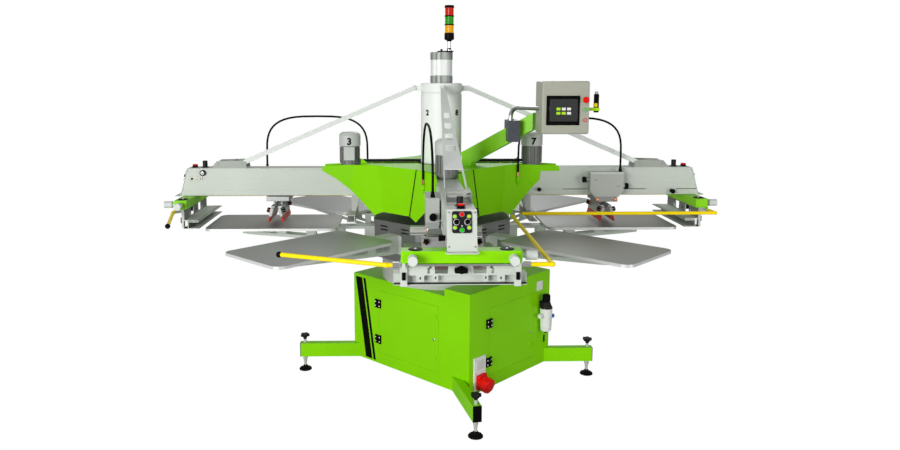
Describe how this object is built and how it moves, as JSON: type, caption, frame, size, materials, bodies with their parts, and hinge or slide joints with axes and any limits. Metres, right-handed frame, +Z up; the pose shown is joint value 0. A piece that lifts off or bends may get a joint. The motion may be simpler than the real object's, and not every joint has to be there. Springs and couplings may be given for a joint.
{
  "type": "automatic carousel screen printing press",
  "caption": "Floor-standing carousel screen printing press with pallets on an indexing hub, print heads on crossing beams, a cabinet base, control box and signal tower.",
  "frame": {"origin": "column axis at floor level", "axes": "+Z up, -Y towards the operator's side and the front print head, +X to the right print head"},
  "size_m": [3.464, 3.464, 2.422],
  "materials": {
    "green_paint": "gloss",
    "pale_paint": "gloss",
    "white_paint": "gloss",
    "dark_paint": "satin",
    "grey_paint": "satin",
    "yellow_paint": "gloss",
    "pallet_aluminium": "satin",
    "steel": "brushed",
    "black_plastic": "satin",
    "red_plastic": "gloss",
    "white_plastic": "satin",
    "black_rubber": "matte",
    "lamp_plastic": "gloss",
    "motor_aluminium": "satin",
    "red_polyurethane": "satin"
  },
  "bodies": {
    "machine": {"base_cabinet": "green_paint", "door_hinges": "steel", "leg_tubes": "green_paint", "leg_end_caps": "black_plastic", "power_inlet": "red_plastic", "air_regulator": "steel", "drum_housing": "grey_paint", "centre_column": "grey_paint", "column_shell": "white_paint", "strut_collar": "white_paint", "lift_cylinder": "motor_aluminium", "head_beams": "pale_paint", "beam_end_plates": "pale_paint", "beam_fittings": "black_plastic", "head_struts": "white_paint", "strut_brackets": "pale_paint", "drive_motors": "motor_aluminium", "motor_conduits": "black_plastic", "bay_covers": "green_paint", "cross_bars": "green_paint", "register_knobs": "white_plastic", "screen_holders": "pale_paint", "screen_channels": "pale_paint", "inner_brackets": "grey_paint", "air_hose_1": "black_rubber", "air_hose_3": "black_rubber", "air_hose_5": "black_rubber", "air_hose_7": "black_rubber", "control_arm": "green_paint", "signal_tower": "lamp_plastic"},
    "lift": {"lift_sleeve": "steel"},
    "carousel": {"carousel_hub": "dark_paint", "pallet_arms": "pale_paint", "pallet_boards": "pallet_aluminium"},
    "left_door": {"door_left": "green_paint"},
    "right_door": {"door_right": "green_paint"},
    "levelling_left": {"foot_left": "black_rubber"},
    "levelling_right": {"foot_right": "black_rubber"},
    "levelling_front": {"foot_front": "black_rubber"},
    "levelling_rear": {"foot_rear": "black_rubber"},
    "regulator_dial": {"regulator_knob": "black_plastic"},
    "panel": {"swivel_tube": "steel", "control_box": "pale_paint"},
    "stop": {"stop_button": "red_plastic"},
    "carriage_unit_1": {"carriage_1": "pale_paint"},
    "squeegee_unit_1": {"squeegee_1": "steel"},
    "flood_unit_1": {"flood_bar_1": "steel"},
    "safety_unit_1": {"safety_bars_1": "yellow_paint"},
    "carriage_unit_3": {"carriage_3": "pale_paint"},
    "squeegee_unit_3": {"squeegee_3": "steel"},
    "flood_unit_3": {"flood_bar_3": "steel"},
    "safety_unit_3": {"safety_bars_3": "yellow_paint"},
    "carriage_unit_5": {"carriage_5": "pale_paint"},
    "squeegee_unit_5": {"squeegee_5": "steel"},
    "flood_unit_5": {"flood_bar_5": "steel"},
    "safety_unit_5": {"safety_bars_5": "yellow_paint"},
    "carriage_unit_7": {"carriage_7": "pale_paint"},
    "squeegee_unit_7": {"squeegee_7": "steel"},
    "flood_unit_7": {"flood_bar_7": "steel"},
    "safety_unit_7": {"safety_bars_7": "yellow_paint"}
  },
  "joints": [
    {"name": "carousel_lift", "type": "slide", "parent": "machine", "child": "lift", "axis": [0, 0, 1], "range_m": [0, 0.02]},
    {"name": "carousel_turn", "type": "hinge", "parent": "lift", "child": "carousel", "pos_m": [0, 0, 0.95], "axis": [0, 0, 1], "continuous": true},
    {"name": "carriage_slide_1", "type": "slide", "parent": "machine", "child": "carriage_unit_1", "axis": [0, -1, 0], "range_m": [-0.25, 0.32], "deforming": ["air_hose_1"]},
    {"name": "squeegee_lift_1", "type": "slide", "parent": "carriage_unit_1", "child": "squeegee_unit_1", "axis": [0, 0, 1], "range_m": [0, 0.02]},
    {"name": "flood_lift_1", "type": "slide", "parent": "carriage_unit_1", "child": "flood_unit_1", "axis": [0, 0, 1], "range_m": [0, 0.02]},
    {"name": "safety_tilt_1", "type": "hinge", "parent": "machine", "child": "safety_unit_1", "pos_m": [0, -1.65, 1.15], "axis": [1, 0, 0], "range_deg": [0, 8]},
    {"name": "carriage_slide_3", "type": "slide", "parent": "machine", "child": "carriage_unit_3", "axis": [-1, 0, 0], "range_m": [-0.25, 0.32], "deforming": ["air_hose_3"]},
    {"name": "squeegee_lift_3", "type": "slide", "parent": "carriage_unit_3", "child": "squeegee_unit_3", "axis": [0, 0, 1], "range_m": [0, 0.02]},
    {"name": "flood_lift_3", "type": "slide", "parent": "carriage_unit_3", "child": "flood_unit_3", "axis": [0, 0, 1], "range_m": [0, 0.02]},
    {"name": "safety_tilt_3", "type": "hinge", "parent": "machine", "child": "safety_unit_3", "pos_m": [-1.65, 0, 1.15], "axis": [0, -1, 0], "range_deg": [0, 8]},
    {"name": "carriage_slide_5", "type": "slide", "parent": "machine", "child": "carriage_unit_5", "axis": [0, 1, 0], "range_m": [-0.25, 0.32], "deforming": ["air_hose_5"]},
    {"name": "squeegee_lift_5", "type": "slide", "parent": "carriage_unit_5", "child": "squeegee_unit_5", "axis": [0, 0, 1], "range_m": [0, 0.02]},
    {"name": "flood_lift_5", "type": "slide", "parent": "carriage_unit_5", "child": "flood_unit_5", "axis": [0, 0, 1], "range_m": [0, 0.02]},
    {"name": "safety_tilt_5", "type": "hinge", "parent": "machine", "child": "safety_unit_5", "pos_m": [0, 1.65, 1.15], "axis": [-1, 0, 0], "range_deg": [0, 8]},
    {"name": "carriage_slide_7", "type": "slide", "parent": "machine", "child": "carriage_unit_7", "axis": [1, 0, 0], "range_m": [-0.25, 0.32], "deforming": ["air_hose_7"]},
    {"name": "squeegee_lift_7", "type": "slide", "parent": "carriage_unit_7", "child": "squeegee_unit_7", "axis": [0, 0, 1], "range_m": [0, 0.02]},
    {"name": "flood_lift_7", "type": "slide", "parent": "carriage_unit_7", "child": "flood_unit_7", "axis": [0, 0, 1], "range_m": [0, 0.02]},
    {"name": "safety_tilt_7", "type": "hinge", "parent": "machine", "child": "safety_unit_7", "pos_m": [1.65, 0, 1.15], "axis": [0, 1, 0], "range_deg": [0, 8]},
    {"name": "door_left_swing", "type": "hinge", "parent": "machine", "child": "left_door", "pos_m": [-0.41719, -0.10889, 0.3845], "axis": [0, 0, -1], "range_deg": [0, 105]},
    {"name": "door_right_swing", "type": "hinge", "parent": "machine", "child": "right_door", "pos_m": [0.26693, -0.52856, 0.3845], "axis": [0, 0, -1], "range_deg": [0, 105]},
    {"name": "foot_left_turn", "type": "hinge", "parent": "machine", "child": "levelling_left", "pos_m": [-0.914, 0.049, 0.15], "axis": [0, 0, 1], "continuous": true},
    {"name": "foot_right_turn", "type": "hinge", "parent": "machine", "child": "levelling_right", "pos_m": [0.976, -0.076, 0.15], "axis": [0, 0, 1], "continuous": true},
    {"name": "foot_front_turn", "type": "hinge", "parent": "machine", "child": "levelling_front", "pos_m": [0.144, -0.948, 0.15], "axis": [0, 0, 1], "continuous": true},
    {"name": "foot_rear_turn", "type": "hinge", "parent": "machine", "child": "levelling_rear", "pos_m": [0, 0.916, 0.15], "axis": [0, 0, 1], "continuous": true},
    {"name": "regulator_turn", "type": "hinge", "parent": "machine", "child": "regulator_dial", "pos_m": [0.67776, -0.16864, 0.55], "axis": [0, 0, 1], "range_deg": [-150, 150]},
    {"name": "panel_swing", "type": "hinge", "parent": "machine", "child": "panel", "pos_m": [0.4, -0.345, 1.7], "axis": [0, 0, 1], "range_deg": [-40, 0]},
    {"name": "stop_press", "type": "slide", "parent": "panel", "child": "stop", "axis": [0, 1, 0], "range_m": [0, 0.005], "stiffness_N_per_m": 800, "springref_m": -0.002}
  ]
}
